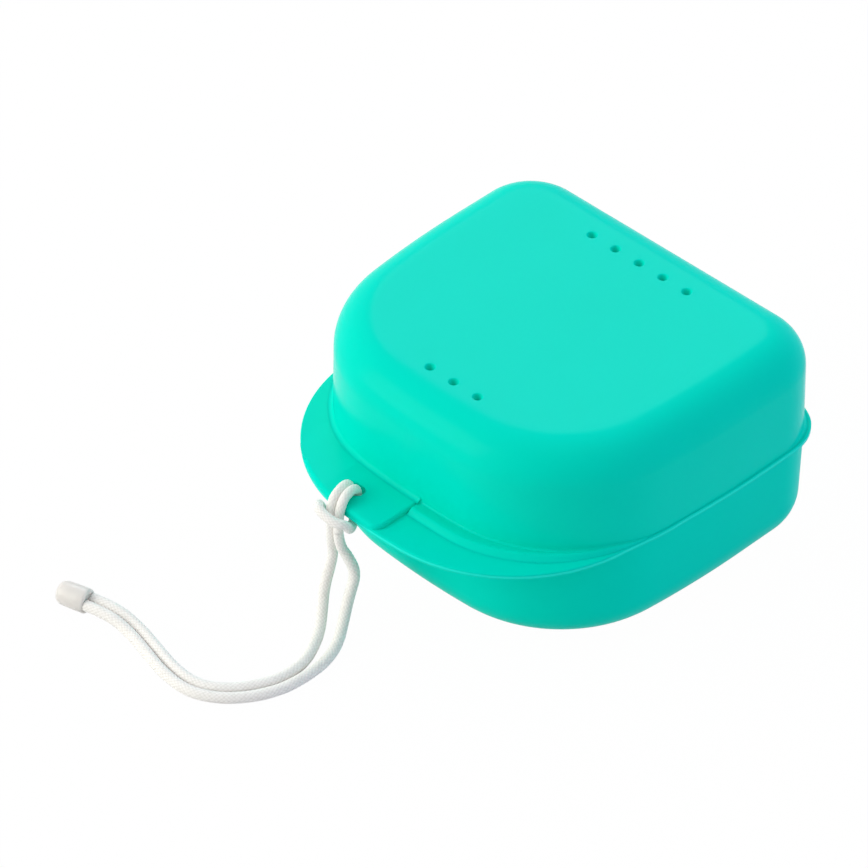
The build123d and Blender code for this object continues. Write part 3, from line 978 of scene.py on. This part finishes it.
def studio_floor():
    mesh_maker = bmesh.new()
    bmesh.ops.create_grid(mesh_maker, x_segments=1, y_segments=1, size=1.5)
    floor = add_object("floor", mesh_maker)
    material, tree = new_material("studio_white_paint")
    direct = seen_directly(tree)
    white = add_node(tree, "ShaderNodeMix", {0: direct, 6: linear("#E6E6E6"),
                                             7: linear("#FFFFFF")}, data_type="RGBA")
    paint = add_node(tree, "ShaderNodeBsdfDiffuse", {"Color": white.outputs[2]})
    glow = add_node(tree, "ShaderNodeEmission", {"Color": (1, 1, 1, 1), "Strength": 1.0})
    share = add_node(tree, "ShaderNodeMath", {0: direct, 1: 0.985}, operation="MULTIPLY")
    both = add_node(tree, "ShaderNodeMixShader", {0: share.outputs[0], 1: paint.outputs[0],
                                                  2: glow.outputs[0]})
    add_node(tree, "ShaderNodeOutputMaterial", {"Surface": both.outputs[0]})
    floor.data.materials.append(material)


studio_floor()

# %% [markdown]
# The room is a white tent. A large soft lamp stands low on the left in front. A small cool one stands
# behind on the left, and its reflection gives the top its pale sheen. A weak blue one on the right
# cools the shaded side. The tent is open where the camera stands, so less light comes from there: a
# grey net stands for the opening.

# %% Room
SKY = 0.79                 # the tent's light on the case; it looks pure white itself
world = bpy.data.worlds.new("white_room")
bpy.context.scene.world = world
world.use_nodes = True
world.node_tree.nodes.clear()
level = add_node(world.node_tree, "ShaderNodeMapRange", {"Value": seen_directly(world.node_tree),
                                                         "To Min": SKY, "To Max": 1.0})
room = add_node(world.node_tree, "ShaderNodeBackground", {"Color": (1.0, 1.0, 1.0, 1.0),
                                                         "Strength": level.outputs["Result"]})
add_node(world.node_tree, "ShaderNodeOutputWorld", {"Surface": room.outputs[0]})


# %% Grey net behind the camera
def grey_net():
    """Upright square that takes away part of the light from the camera's side."""
    mesh_maker = bmesh.new()
    bmesh.ops.create_grid(mesh_maker, x_segments=1, y_segments=1, size=0.75)
    ahead = Vector((backward.x, backward.y, 0.25))
    place = Vector((1.25 * backward.x, 1.25 * backward.y, 0.75))
    turn = (-ahead).to_track_quat("-Z", "Y").to_matrix().to_4x4()
    bmesh.ops.transform(mesh_maker, matrix=Matrix.Translation(place) @ turn, verts=mesh_maker.verts)
    net = add_object("grey_net", mesh_maker)
    material, tree = new_material("grey_net")
    hole = add_node(tree, "ShaderNodeBsdfTransparent")
    thread = add_node(tree, "ShaderNodeBsdfDiffuse", {"Color": (0.02, 0.02, 0.02, 1.0)})
    woven = add_node(tree, "ShaderNodeMixShader", {0: 0.56, 1: hole.outputs[0], 2: thread.outputs[0]})
    add_node(tree, "ShaderNodeOutputMaterial", {"Surface": woven.outputs[0]})
    net.data.materials.append(material)


grey_net()


# %% Lamps
def soft_lamp(name, place, size, watts, colour):
    """Square lamp that looks at the middle of the case."""
    lamp = bpy.data.lights.new(name, "AREA")
    lamp.size = size
    lamp.energy = watts
    lamp.color = colour
    holder = bpy.data.objects.new(name, lamp)
    holder.location = place
    holder.rotation_euler = (Vector((0, 0, 0.02)) - Vector(place)).to_track_quat("-Z", "Y").to_euler()
    bpy.context.scene.collection.objects.link(holder)


soft_lamp("front_left_softbox", (-0.6, -0.86, 0.5), 0.8, 6.5, (1.0, 0.99, 0.9))
soft_lamp("back_left_softbox", (-0.77, 0.77, 0.84), 0.45, 2.6, (0.85, 0.85, 1.0))
soft_lamp("right_fill", (0.8, 0.6, 0.45), 0.8, 1.5, (0.05, 0.2, 1.0))
bpy.context.scene.view_settings.view_transform = "Standard"
